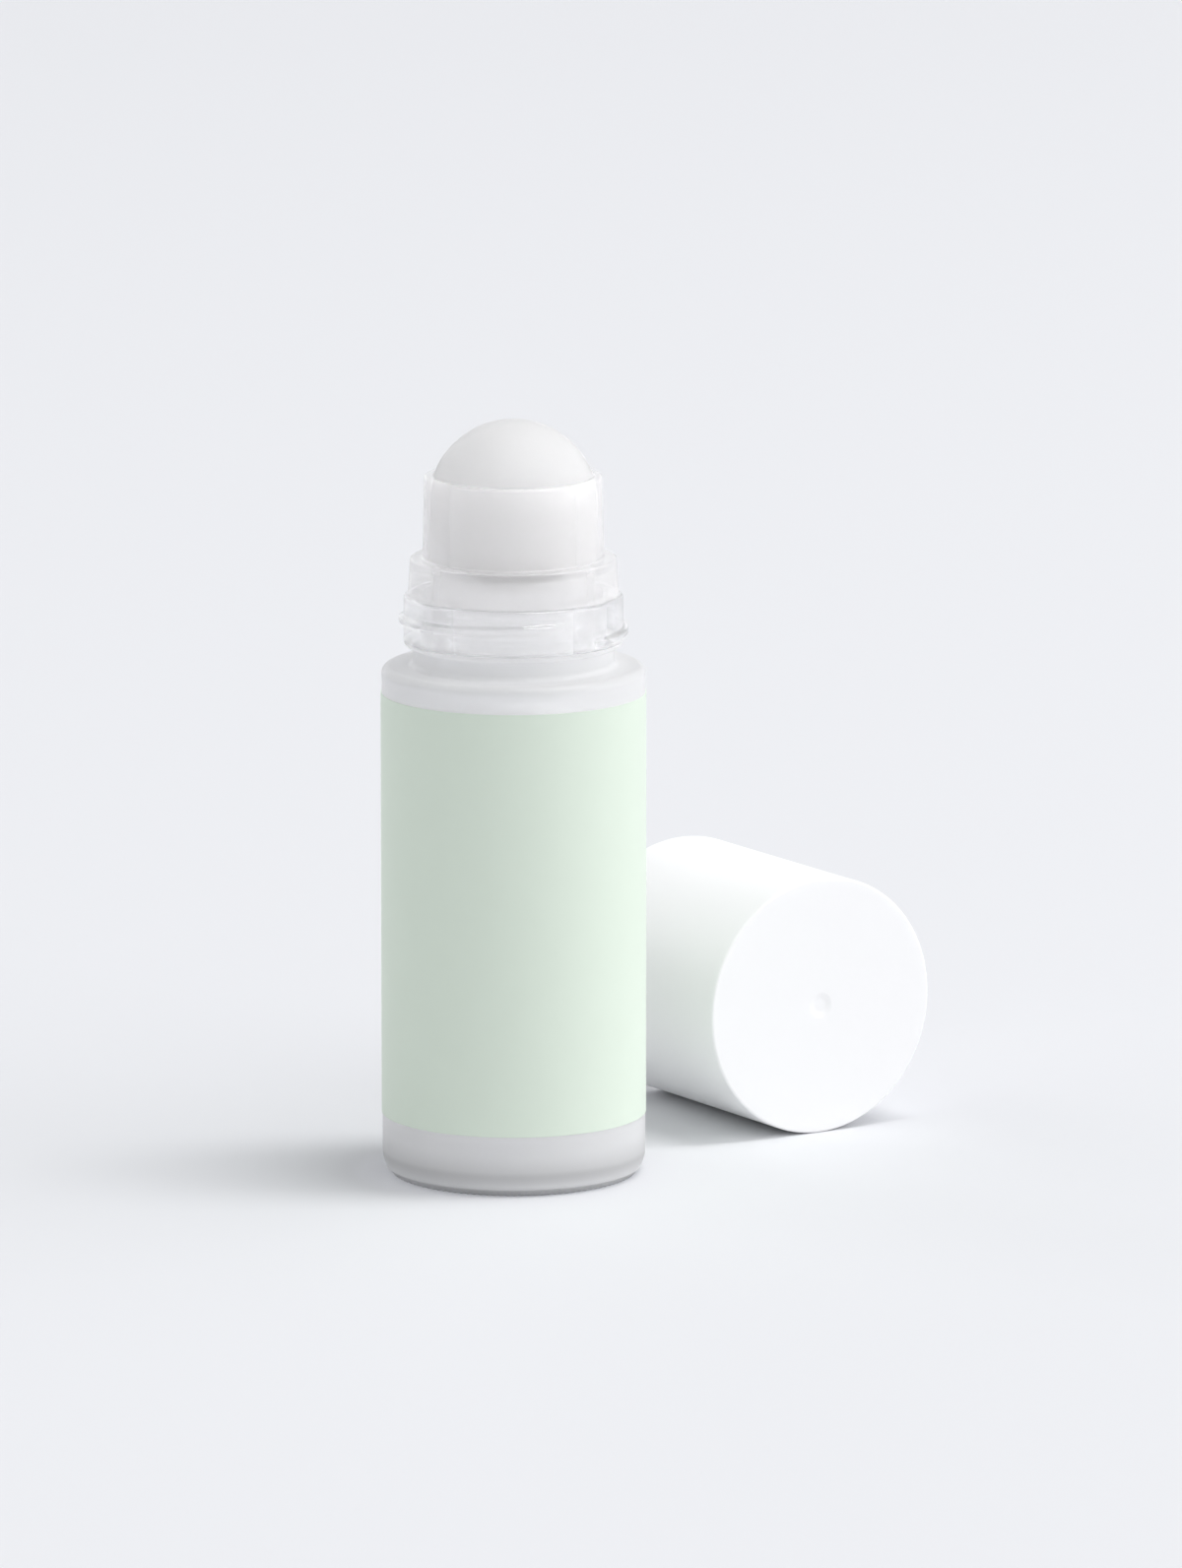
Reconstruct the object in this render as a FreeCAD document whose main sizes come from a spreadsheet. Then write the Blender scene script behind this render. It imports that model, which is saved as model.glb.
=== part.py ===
import FreeCAD, Part
import math
import os
from collections import namedtuple
from enum import Enum, IntEnum, auto
import Sketcher

# Roll-on bottle with its screw cap lying beside it, in millimetres. +Z is up, and the origin is the middle
# of the bottle's foot. The ball sets the housing round it, the housing sets the glass neck, and the neck
# sets the body and the cap.

SIZES = {
    # Ball
    "ball_radius": 12.2,
    "ball_wall": 1.6,
    "ball_clearance": 0.1,
    # Barrel of the housing, which holds the ball behind a rim
    "barrel_wall": 0.55,
    "barrel_draft": 0.22,
    "barrel_height": 11.9,
    "rim_rise": 4.19,
    "rim_round": 0.5,
    # Seat under the ball: a shelf across the barrel's foot, with the port that the liquid comes through
    "shelf_drop": 0.3,
    "seat_wall": 1.3,
    "port_radius": 6.0,
    # Flange of the housing, which stands on the glass lip
    "flange_step": 1.8,
    "flange_draft": 0.3,
    "flange_height": 5.35,
    "flange_round": 0.4,
    # Skirt of the housing, which plugs the neck and seals on its beads
    "skirt_wall": 1.17,
    "plug_length": 7.0,
    "plug_clearance": 0.08,
    "plug_lead": 0.6,
    "bead_interference": 0.1,
    "bead_height": 0.9,
    "bead_start": 1.6,
    "bead_spacing": 1.7,
    "bead_bite": 0.3,
    "bead_count": 3,
    # Glass neck
    "lip_margin": 0.63,
    "lip_round": 0.6,
    "neck_wall": 2.4,
    "neck_height": 10.35,
    "neck_root_round": 1.0,
    "bore_round": 0.4,
    # Glass body
    "shoulder_width": 3.2,
    "shoulder_height": 74.4,
    "shoulder_round": 1.2,
    "shoulder_thickness": 2.6,
    "inner_shoulder_drop": 2.5,
    "inner_shoulder_round": 2.0,
    "glass_wall": 2.2,
    "floor_height": 5.0,
    "floor_round": 4.0,
    # Foot of the bottle: a rounded heel, a chamfer, a flat ring to stand on and a hollow inside it
    "heel_run": 0.6,
    "heel_rise": 2.4,
    "foot_run": 0.8,
    "foot_rise": 1.0,
    "bearing_width": 2.6,
    "pushup_height": 1.4,
    # Label
    "label_thickness": 0.12,
    "label_foot": 8.9,
    "label_top_margin": 3.9,
    "label_gap": 2.0,
    # Cap
    "thread_height": 0.75,
    "thread_clearance": 0.45,
    "cap_wall": 2.0,
    "cap_draft": 0.25,
    "cap_edge_round": 0.5,
    "cap_mouth_round": 0.4,
    "cap_corner_round": 1.2,
    "crown_thickness": 2.0,
    "crown_gap": 0.6,
    "mouth_gap": 0.6,
    "press_ring_width": 1.3,
    "gate_radius": 1.75,
    "gate_depth": 0.25,
    "gate_bevel": 0.5,
    # Where the cap lies
    "cap_gap": 13.2,
    "cap_crown_lead": 3.0,
    # Shares: where the cap's ring meets the ball, and the most of a wall that a rounding may take
    "press_ring_share": 0.42,
    "round_share": 0.45,
}

WORKED = {
    # Radii, from the ball outwards
    "socket_radius": "Sizes.ball_radius + Sizes.ball_clearance",
    "ball_hollow_radius": "Sizes.ball_radius - Sizes.ball_wall",
    "barrel_top_radius": "socket_radius + Sizes.barrel_wall",
    "barrel_foot_radius": "barrel_top_radius + Sizes.barrel_draft",
    "flange_top_radius": "barrel_foot_radius + Sizes.flange_step",
    "flange_foot_radius": "flange_top_radius + Sizes.flange_draft",
    "neck_radius": "flange_foot_radius + Sizes.lip_margin",
    "neck_bore_radius": "neck_radius - Sizes.neck_wall",
    "body_radius": "neck_radius + Sizes.shoulder_width",
    "inner_radius": "body_radius - Sizes.glass_wall",
    "brow_radius": "body_radius - Sizes.heel_run",
    "bearing_radius": "brow_radius - Sizes.foot_run",
    "pushup_radius": "bearing_radius - Sizes.bearing_width",
    "label_radius": "body_radius + Sizes.label_thickness",
    # Heights, from the foot up
    "heel_top": "Sizes.foot_rise + Sizes.heel_rise",
    "lip_height": "Sizes.shoulder_height + Sizes.neck_height",
    "flange_top": "lip_height + Sizes.flange_height",
    "rim_height": "flange_top + Sizes.barrel_height",
    "ball_centre": "rim_height - Sizes.rim_rise",
    "inner_shoulder_top": "Sizes.shoulder_height - Sizes.shoulder_thickness",
    "inner_shoulder_foot": "inner_shoulder_top - Sizes.inner_shoulder_drop",
    "label_top": "Sizes.shoulder_height - Sizes.label_top_margin",
    # Arcs of the foot
    "heel_arc": "(Sizes.heel_run^2 + Sizes.heel_rise^2) / (2 * Sizes.heel_run)",
    "pushup_arc": "(pushup_radius^2 + Sizes.pushup_height^2) / (2 * Sizes.pushup_height)",
    # Where the housing's rim, shelf and port meet the socket's sphere, and the underside of its seat
    "rim_opening": "sqrt(socket_radius^2 - Sizes.rim_rise^2)",
    "port_top": "ball_centre - sqrt(socket_radius^2 - Sizes.port_radius^2)",
    "port_foot": "port_top - Sizes.seat_wall",
    "shelf_height": "flange_top - Sizes.shelf_drop",
    "seat_radius": "sqrt(socket_radius^2 - (ball_centre - shelf_height)^2)",
    "skirt_inner_radius": "barrel_foot_radius - Sizes.skirt_wall",
    "skirt_ceiling": "shelf_height - Sizes.seat_wall",
    # Plug in the neck and its sealing beads
    "plug_radius": "neck_bore_radius - Sizes.plug_clearance",
    "plug_foot": "lip_height - Sizes.plug_length",
    "plug_lead_radius": "plug_radius - Sizes.plug_lead",
    "plug_lead_height": "plug_foot + Sizes.plug_lead",
    "bead_root_radius": "plug_radius - Sizes.bead_bite",
    "bead_crest_radius": "neck_bore_radius + Sizes.bead_interference",
    "bead_foot": "plug_foot + Sizes.bead_start",
    "bead_middle": "bead_foot + Sizes.bead_height / 2",
    "bead_top": "bead_foot + Sizes.bead_height",
    "bead_span": "Sizes.bead_spacing * (Sizes.bead_count - 1)",
    # Label
    "label_turn": "360 - Sizes.label_gap / body_radius * 180 / pi",
    # Cap, which goes over the neck's thread and down to the shoulder, with its ring on the ball
    "cap_mouth_radius": "neck_radius + Sizes.thread_height + Sizes.thread_clearance",
    "cap_bore_radius": "cap_mouth_radius - Sizes.cap_draft",
    "cap_radius": "cap_mouth_radius + Sizes.cap_wall",
    "cap_ceiling": "ball_centre + Sizes.ball_radius + Sizes.crown_gap",
    "cap_depth": "cap_ceiling - Sizes.shoulder_height - Sizes.mouth_gap",
    "cap_length": "cap_depth + Sizes.crown_thickness",
    "press_ring_radius": "Sizes.ball_radius * Sizes.press_ring_share",
    "press_ring_inner": "press_ring_radius - Sizes.press_ring_width / 2",
    "press_ring_outer": "press_ring_radius + Sizes.press_ring_width / 2",
    "press_ring_drop": "Sizes.ball_radius - sqrt(Sizes.ball_radius^2 - press_ring_radius^2)",
    "press_ring_end": "Sizes.crown_thickness + Sizes.crown_gap + press_ring_drop",
    "gate_floor_radius": "Sizes.gate_radius - Sizes.gate_bevel",
    "cap_axis_x": "body_radius + Sizes.cap_gap + cap_radius",
    "cap_crown_y": "-Sizes.cap_crown_lead",
    # Roundings, none larger than its wall allows
    "shoulder_edge_round": "min(Sizes.shoulder_round; Sizes.shoulder_width * Sizes.round_share)",
    "neck_foot_round": "min(Sizes.neck_root_round; Sizes.shoulder_width * Sizes.round_share)",
    "lip_edge_round": "min(Sizes.lip_round; Sizes.neck_wall * Sizes.round_share)",
    "bore_edge_round": "min(Sizes.bore_round; Sizes.neck_wall * Sizes.round_share)",
    "rim_width": "barrel_top_radius - rim_opening",
    "rim_edge_round": "min(Sizes.rim_round; rim_width * Sizes.round_share)",
    "flange_edge_round": "min(Sizes.flange_round; Sizes.flange_step * Sizes.round_share)",
    "crown_edge_round": "min(Sizes.cap_edge_round; Sizes.crown_thickness * Sizes.round_share)",
    "mouth_edge_round": "min(Sizes.cap_mouth_round; Sizes.cap_wall * Sizes.round_share)",
}

FULL_TURN = 360
QUARTER_TURN = 90
MATCH = 1e-4


class Hand(Enum):
    """The hand, going along a side, on which an arc has its centre."""
    LEFT = auto()
    RIGHT = auto()


class End(IntEnum):
    """The two ends of a side, by the numbers that constraints use."""
    START = auto()
    FINISH = auto()


class Axis(IntEnum):
    """A sketch's own axes: constraints use these numbers with a minus sign."""
    FLAT = auto()
    UPRIGHT = auto()


# A corner of a half-section: its radius and height are sheet cells, and None is zero, on the axis or the
# floor plane. Where arc names a cell, the side that leaves the corner is an arc of that radius, centred on
# that hand.
Corner = namedtuple("Corner", "radius height arc hand", defaults=(None, Hand.LEFT))


def add_sheet(doc, name, cells):
    """Fill a sheet with one named cell to a row."""
    sheet = doc.addObject("Spreadsheet::Sheet", name)
    for row, (alias, content) in enumerate(cells.items(), start=1):
        sheet.set(f"A{row}", alias)
        sheet.set(f"B{row}", content)
        sheet.setAlias(f"B{row}", alias)
    doc.recompute()
    return sheet


def cell(name):
    """The expression that reads a named cell from the sheet that holds it."""
    return f"Sizes.{name}" if name in SIZES else f"Worked.{name}"


def value(doc, name):
    """The number that a named cell holds, or zero where no cell is named."""
    if name is None:
        return 0.0
    sheet = doc.Sizes if name in SIZES else doc.Worked
    return float(getattr(sheet, name))


def add_body(doc, label):
    """A new body, named for its piece."""
    body = doc.addObject("PartDesign::Body", label)
    body.Label = label
    return body


def arc_between(start, end, radius, hand):
    """The short arc of this radius from start to end, with its centre on that hand."""
    chord = end - start
    middle = (start + end) / 2
    reach = math.sqrt(radius ** 2 - (chord.Length / 2) ** 2)
    left = FreeCAD.Vector(-chord.y, chord.x).normalize()
    centre = middle + left * (reach if hand is Hand.LEFT else -reach)
    first, last = (start, end) if hand is Hand.LEFT else (end, start)
    turns = [math.atan2(p.y - centre.y, p.x - centre.x) for p in (first, last)]
    circle = Part.Circle(centre, FreeCAD.Vector(0, 0, 1), radius)
    return Part.ArcOfCircle(circle, turns[0], turns[1])


def bind(sketch, name, alias, kind, *places):
    """Add a named dimension of the sketch and tie it to a sheet cell."""
    rule = sketch.addConstraint(Sketcher.Constraint(kind, *places, value(sketch.Document, alias)))
    sketch.renameConstraint(rule, name)
    sketch.setExpression(f"Constraints.{name}", cell(alias))


def pin_down(sketch, side, end, corner):
    """Hold one end of a side at the radius and height that its corner names."""
    places = (
        ("DistanceX", "radius", corner.radius, -Axis.UPRIGHT),
        ("DistanceY", "height", corner.height, -Axis.FLAT),
    )
    for kind, word, alias, axis in places:
        if alias is None:
            sketch.addConstraint(Sketcher.Constraint("PointOnObject", side, end, axis))
        else:
            bind(sketch, f"{word}_{side}", alias, kind, side, end)


def add_section(body, name, corners):
    """Draw a closed half-section on the body's XZ plane, every corner and arc bound to the sheets."""
    doc = body.Document
    sketch = body.newObject("Sketcher::SketchObject", name)
    plane = next(item for item in body.Origin.OriginFeatures if item.Role == "XZ_Plane")
    sketch.AttachmentSupport = [(plane, "")]
    sketch.MapMode = "FlatFace"
    points = [FreeCAD.Vector(value(doc, c.radius), value(doc, c.height), 0) for c in corners]
    ends = []
    for number, corner in enumerate(corners):
        start, end = points[number], points[(number + 1) % len(points)]
        if corner.arc is None:
            sketch.addGeometry(Part.LineSegment(start, end))
            ends.append((End.START, End.FINISH))
            continue
        sketch.addGeometry(arc_between(start, end, value(doc, corner.arc), corner.hand))
        ends.append((End.START, End.FINISH) if corner.hand is Hand.LEFT else (End.FINISH, End.START))
    for number, corner in enumerate(corners):
        before = number - 1 if number else len(corners) - 1
        first, last = ends[number][0], ends[before][1]
        sketch.addConstraint(Sketcher.Constraint("Coincident", before, last, number, first))
        pin_down(sketch, number, first, corner)
        if corner.arc is not None:
            bind(sketch, f"arc_{number}", corner.arc, "Radius", number)
    return sketch


def revolve(body, name, corners, turn=None):
    """Turn a half-section about the body's Z axis, all the way round or by the angle that a cell gives."""
    sketch = add_section(body, f"{name}_section", corners)
    solid = body.newObject("PartDesign::Revolution", name)
    solid.Profile = sketch
    solid.ReferenceAxis = (sketch, ["V_Axis"])
    solid.Angle = FULL_TURN
    if turn is not None:
        solid.Midplane = True
        solid.setExpression("Angle", cell(turn))
    body.Document.recompute()
    return solid


def ring_edge(shape, radius, height):
    """The name of the circular edge with this radius round the Z axis at this height."""
    for number, edge in enumerate(shape.Edges, start=1):
        if edge.Degenerated or edge.Curve.TypeId != "Part::GeomCircle":
            continue
        curve = edge.Curve
        if abs(curve.Radius - radius) < MATCH and abs(curve.Center.z - height) < MATCH:
            return f"Edge{number}"
    raise ValueError(f"no edge of radius {radius} at height {height}")


def round_rings(body, name, size, rings):
    """Round the circular edges at these (radius, height) cells, all by the size that a cell gives."""
    doc = body.Document
    base = body.Tip
    edges = [ring_edge(base.Shape, value(doc, radius), value(doc, height)) for radius, height in rings]
    rounding = body.newObject("PartDesign::Fillet", name)
    rounding.Base = (base, edges)
    rounding.setExpression("Radius", cell(size))
    doc.recompute()
    return rounding


def make_glass_bottle(doc):
    """Bottle with a standing ring, chamfer, heel, straight wall, flat shoulder and neck, hollow to a thick floor."""
    body = add_body(doc, "glass_bottle")
    revolve(body, "bottle_wall", [
        Corner(None, "pushup_height", "pushup_arc", Hand.RIGHT),
        Corner("pushup_radius", None),
        Corner("bearing_radius", None),
        Corner("brow_radius", "foot_rise", "heel_arc", Hand.LEFT),
        Corner("body_radius", "heel_top"),
        Corner("body_radius", "shoulder_height"),
        Corner("neck_radius", "shoulder_height"),
        Corner("neck_radius", "lip_height"),
        Corner("neck_bore_radius", "lip_height"),
        Corner("neck_bore_radius", "inner_shoulder_top"),
        Corner("inner_radius", "inner_shoulder_foot"),
        Corner("inner_radius", "floor_height"),
        Corner(None, "floor_height"),
    ])
    round_rings(body, "shoulder_edge", "shoulder_edge_round", [("body_radius", "shoulder_height")])
    round_rings(body, "neck_foot", "neck_foot_round", [("neck_radius", "shoulder_height")])
    round_rings(body, "lip_edge", "lip_edge_round", [("neck_radius", "lip_height")])
    round_rings(body, "bore_edge", "bore_edge_round", [("neck_bore_radius", "lip_height")])
    round_rings(body, "inner_shoulder", "inner_shoulder_round", [
        ("neck_bore_radius", "inner_shoulder_top"),
        ("inner_radius", "inner_shoulder_foot"),
    ])
    round_rings(body, "floor_corner", "floor_round", [("inner_radius", "floor_height")])
    return body


def make_ball_housing(doc):
    """Fitment with a drafted barrel round the ball, a seat under it, a flange on the lip and a plug."""
    body = add_body(doc, "ball_housing")
    revolve(body, "housing_wall", [
        Corner("skirt_inner_radius", "plug_foot"),
        Corner("plug_lead_radius", "plug_foot"),
        Corner("plug_radius", "plug_lead_height"),
        Corner("plug_radius", "lip_height"),
        Corner("flange_foot_radius", "lip_height"),
        Corner("flange_top_radius", "flange_top"),
        Corner("barrel_foot_radius", "flange_top"),
        Corner("barrel_top_radius", "rim_height"),
        Corner("rim_opening", "rim_height", "socket_radius", Hand.RIGHT),
        Corner("socket_radius", "ball_centre"),
        Corner("socket_radius", "shelf_height"),
        Corner("seat_radius", "shelf_height", "socket_radius", Hand.RIGHT),
        Corner("port_radius", "port_top"),
        Corner("port_radius", "port_foot"),
        Corner("skirt_inner_radius", "skirt_ceiling"),
    ])
    round_rings(body, "rim_edge", "rim_edge_round", [("barrel_top_radius", "rim_height")])
    round_rings(body, "flange_edge", "flange_edge_round", [("flange_top_radius", "flange_top")])
    bead = revolve(body, "sealing_bead", [
        Corner("bead_root_radius", "bead_foot"),
        Corner("bead_crest_radius", "bead_middle"),
        Corner("bead_root_radius", "bead_top"),
    ])
    beads = body.newObject("PartDesign::LinearPattern", "sealing_beads")
    beads.Originals = [bead]
    beads.Direction = (bead.Profile[0], ["V_Axis"])
    beads.setExpression("Length", cell("bead_span"))
    beads.setExpression("Occurrences", cell("bead_count"))
    body.Tip = beads
    return body


def make_roller_ball(doc):
    """Hollow ball, seated in the housing's socket."""
    spheres = []
    for name, radius in (("ball_skin", "ball_radius"), ("ball_hollow", "ball_hollow_radius")):
        sphere = doc.addObject("Part::Sphere", name)
        sphere.setExpression("Radius", cell(radius))
        sphere.setExpression("Placement.Base.z", cell("ball_centre"))
        spheres.append(sphere)
    ball = doc.addObject("Part::Cut", "roller_ball")
    ball.Base, ball.Tool = spheres
    ball.Label = "roller_ball"
    return ball


def make_wrap_label(doc):
    """Film label round the straight wall, its ends a small gap apart at the back."""
    body = add_body(doc, "wrap_label")
    revolve(body, "label_film", [
        Corner("body_radius", "label_foot"),
        Corner("label_radius", "label_foot"),
        Corner("label_radius", "label_top"),
        Corner("body_radius", "label_top"),
    ], turn="label_turn")
    body.Placement.Rotation = FreeCAD.Rotation(FreeCAD.Vector(0, 0, 1), -QUARTER_TURN)
    return body


def make_screw_cap(doc):
    """Cap with a gate mark in the crown and a ring to press the ball, laid on its side by the bottle."""
    body = add_body(doc, "screw_cap")
    revolve(body, "cap_wall", [
        Corner(None, "gate_depth"),
        Corner("gate_floor_radius", "gate_depth"),
        Corner("gate_radius", None),
        Corner("cap_radius", None),
        Corner("cap_radius", "cap_length"),
        Corner("cap_mouth_radius", "cap_length"),
        Corner("cap_bore_radius", "crown_thickness"),
        Corner("press_ring_outer", "crown_thickness"),
        Corner("press_ring_outer", "press_ring_end"),
        Corner("press_ring_inner", "press_ring_end"),
        Corner("press_ring_inner", "crown_thickness"),
        Corner(None, "crown_thickness"),
    ])
    round_rings(body, "crown_edge", "crown_edge_round", [("cap_radius", None)])
    round_rings(body, "mouth_edge", "mouth_edge_round", [("cap_radius", "cap_length")])
    round_rings(body, "crown_corner", "cap_corner_round", [("cap_bore_radius", "crown_thickness")])
    body.Placement.Rotation = FreeCAD.Rotation(FreeCAD.Vector(1, 0, 0), -QUARTER_TURN)
    body.setExpression("Placement.Base.x", cell("cap_axis_x"))
    body.setExpression("Placement.Base.y", cell("cap_crown_y"))
    body.setExpression("Placement.Base.z", cell("cap_radius"))
    return body


def check(doc, pieces):
    """Stop if any object failed to compute, or any piece isn't one valid solid."""
    for item in doc.Objects:
        if "Invalid" in item.State or "Error" in item.State:
            raise RuntimeError(f"{item.Name} did not compute: {item.State}")
        if item.TypeId == "Sketcher::SketchObject" and not item.FullyConstrained:
            raise RuntimeError(f"{item.Name} is not fully constrained")
    for piece in pieces:
        if piece.Shape.isNull() or not piece.Shape.isValid() or len(piece.Shape.Solids) != 1:
            raise RuntimeError(f"{piece.Label} is not one valid solid")


def main():
    """Build the document, check every piece and write its solid."""
    doc = FreeCAD.newDocument("roll_on_bottle")
    add_sheet(doc, "Sizes", {name: str(size) for name, size in SIZES.items()})
    add_sheet(doc, "Worked", {name: f"={formula}" for name, formula in WORKED.items()})
    makers = (make_glass_bottle, make_ball_housing, make_roller_ball, make_wrap_label, make_screw_cap)
    pieces = [maker(doc) for maker in makers]
    doc.recompute()
    check(doc, pieces)
    os.makedirs("parts", exist_ok=True)
    for piece in pieces:
        piece.Shape.exportStep(f"parts/{piece.Label}.step")
        print(f"{piece.Label}: {piece.Shape.Volume:.1f} cubic millimetres")


main()
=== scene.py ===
"""Dresses the roll-on bottle: etched glass, clear housing, ball, film label and cap, in metres, +Z up."""

import logging
import math
from collections.abc import Callable, Sequence
from dataclasses import dataclass
from enum import Enum

import bpy
import numpy as np
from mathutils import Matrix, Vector


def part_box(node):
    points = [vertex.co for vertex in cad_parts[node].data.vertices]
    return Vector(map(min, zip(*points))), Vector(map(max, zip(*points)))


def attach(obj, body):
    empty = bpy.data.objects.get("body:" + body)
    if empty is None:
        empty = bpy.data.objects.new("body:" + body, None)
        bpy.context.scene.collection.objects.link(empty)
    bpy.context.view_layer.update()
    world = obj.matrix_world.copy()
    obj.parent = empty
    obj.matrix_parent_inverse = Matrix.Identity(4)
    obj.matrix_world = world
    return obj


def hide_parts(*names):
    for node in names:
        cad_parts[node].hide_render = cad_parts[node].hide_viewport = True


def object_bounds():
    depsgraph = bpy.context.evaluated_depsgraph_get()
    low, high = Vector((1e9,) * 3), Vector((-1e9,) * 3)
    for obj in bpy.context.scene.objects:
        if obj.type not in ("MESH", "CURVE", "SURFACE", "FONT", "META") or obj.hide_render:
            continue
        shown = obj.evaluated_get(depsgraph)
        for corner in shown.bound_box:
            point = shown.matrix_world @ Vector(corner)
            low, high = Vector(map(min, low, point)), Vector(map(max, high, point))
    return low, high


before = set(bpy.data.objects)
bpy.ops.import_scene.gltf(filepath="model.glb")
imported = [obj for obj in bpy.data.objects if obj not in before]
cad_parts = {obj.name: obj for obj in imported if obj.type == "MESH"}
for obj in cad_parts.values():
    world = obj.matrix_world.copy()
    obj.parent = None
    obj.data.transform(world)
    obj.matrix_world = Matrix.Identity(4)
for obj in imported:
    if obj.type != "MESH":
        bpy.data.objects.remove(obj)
cad_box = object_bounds()

LOG = logging.getLogger("roll_on_bottle")
MM = 0.001
# The photo looks at the bottle from this far round from the row's -Y axis
VIEW_TURN = math.radians(32.26)
# Rows of a rounded corner turn by this much each, and a flat side has a row this close to each of its ends
ROUNDING_STEP = math.radians(9)
EDGE_ROW = 0.12 * MM
# Two points of an outline closer than this are one
SAME_POINT = 1e-4 * MM
# A corner that turns by less than this stays as it is
LEAST_TURN = 1e-6
# A point lies on a wall when its radius is within this of the wall's own
ON_WALL = 0.01 * MM
# Sockets of a colour mix node: its two colours and its result
MIX_FIRST, MIX_SECOND, MIX_RESULT = 6, 7, 2


class Ends(Enum):
    """What closes a lathed surface: poles on the axis, or a section that runs back to its start."""

    POLES = "poles"
    LOOP = "loop"


@dataclass(frozen=True)
class Corner:
    """A corner of a half-section, rounded by an arc that touches both of its sides.

    Attributes:
        radius: Distance from the axis.
        height: Place along the axis.
        rounding: Radius of the arc, or zero for a corner that stays sharp.
    """

    radius: float
    height: float
    rounding: float = 0.0


def side_rows(start: np.ndarray, end: np.ndarray, spacing: float) -> np.ndarray:
    """Points of a straight side, evenly spaced, with a point near each end so that shading stays flat.

    Args:
        start: First point, as radius and height.
        end: Last point.
        spacing: Largest distance between two points.

    Returns:
        The points as an (n, 2) array, both ends included.
    """
    length = float(np.linalg.norm(end - start))
    edge = min(EDGE_ROW, length / 3)
    inner = np.linspace(edge, length - edge, max(2, math.ceil(length / spacing) + 1))
    along = np.concatenate(([0.0], inner, [length]))
    return start + np.outer(along / length, end - start)


def corner_rows(before: np.ndarray, corner: np.ndarray, after: np.ndarray, rounding: float) -> np.ndarray:
    """Points of a rounded corner.

    For a turn by angle t between unit directions a and b, the arc of radius q touches the sides at q tan(t / 2)
    from the corner, and its centre is q from the first of these points, square to a.

    Args:
        before: Neighbouring corner that the outline comes from.
        corner: The corner itself.
        after: Neighbouring corner that it goes to.
        rounding: Radius of the arc.

    Returns:
        The arc's points as an (n, 2) array, or the bare corner where nothing is rounded.
    """
    a = (corner - before) / np.linalg.norm(corner - before)
    b = (after - corner) / np.linalg.norm(after - corner)
    turn = math.atan2(a[0] * b[1] - a[1] * b[0], float(a @ b))
    if rounding <= 0 or abs(turn) < LEAST_TURN:
        return corner[None, :]
    square = math.copysign(1, turn) * np.array([-a[1], a[0]])
    centre = corner - a * rounding * math.tan(abs(turn) / 2) + square * rounding
    angles = np.linspace(0, abs(turn), max(3, math.ceil(abs(turn) / ROUNDING_STEP) + 1))
    return centre + rounding * (np.outer(np.sin(angles), a) - np.outer(np.cos(angles), square))


def outline(corners: Sequence[Corner], spacing: float, loop: bool = False) -> np.ndarray:
    """Points of a half-section: straight sides between corners, each corner rounded by its arc.

    Args:
        corners: The corners in order.
        spacing: Largest distance between two rows of a straight side.
        loop: Whether the last corner joins the first.

    Returns:
        Radius and height of each row, as an (n, 2) array.
    """
    places = np.array([(corner.radius, corner.height) for corner in corners])
    arcs = []
    for number, corner in enumerate(corners):
        inner = loop or 0 < number < len(corners) - 1
        before, after = places[number - 1], places[(number + 1) % len(places)]
        arcs.append(corner_rows(before, places[number], after, corner.rounding if inner else 0.0))
    rows = []
    for number, arc in enumerate(arcs):
        rows.append(arc)
        following = arcs[(number + 1) % len(arcs)][0]
        if (loop or number < len(arcs) - 1) and np.linalg.norm(following - arc[-1]) > SAME_POINT:
            rows.append(side_rows(arc[-1], following, spacing)[1:-1])
    points = np.concatenate(rows)
    apart = np.linalg.norm(np.diff(points, axis=0), axis=1) > SAME_POINT
    return points[np.concatenate(([True], apart))]


def smooth_step(share: np.ndarray) -> np.ndarray:
    """Rise from 0 to 1 as 3s^2 - 2s^3, flat at both ends, for shares s held to 0 to 1."""
    held = np.clip(share, 0, 1)
    return held * held * (3 - 2 * held)


@dataclass(frozen=True)
class Thread:
    """A single right-hand thread: a ridge that climbs by one pitch to a turn and fades at both ends.

    Attributes:
        start_turn: Angle where it starts, in radians.
        start_height: Height of its crest there.
        turns: How many turns it runs for.
        pitch: Climb in one turn.
        height: How far the crest stands off the wall, below zero where it points inwards.
        base: Width of the ridge at the wall.
        crest: Width of its level top.
        fade: Length of its run-out at each end, in radians.
    """

    start_turn: float
    start_height: float
    turns: float
    pitch: float
    height: float
    base: float
    crest: float
    fade: float

    def relief(self, angle: np.ndarray, height: np.ndarray) -> np.ndarray:
        """How far the ridge stands off the wall at each angle and height.

        A point's distance from each turn's crest line gives a level top with smooth flanks, and the distance run
        from the nearer end gives the fade. The turns are laid over each other and the highest counts.

        Args:
            angle: Angles round the axis, in radians.
            height: Places along the axis, in an array of a shape that goes with angle.

        Returns:
            The relief, in an array of the joint shape.
        """
        relief = np.zeros(np.broadcast(angle, height).shape)
        flank = (self.base - self.crest) / 2
        for turn in range(-1, math.ceil(self.turns) + 1):
            run = np.mod(angle - self.start_turn, 2 * np.pi) + 2 * np.pi * turn
            line = self.start_height + self.pitch * run / (2 * np.pi)
            section = smooth_step((self.base / 2 - np.abs(height - line)) / flank)
            ends = smooth_step(run / self.fade) * smooth_step((2 * np.pi * self.turns - run) / self.fade)
            relief = np.maximum(relief, section * ends)
        return self.height * relief


Shape = Callable[[np.ndarray, np.ndarray, np.ndarray], tuple[np.ndarray, np.ndarray]]


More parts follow.
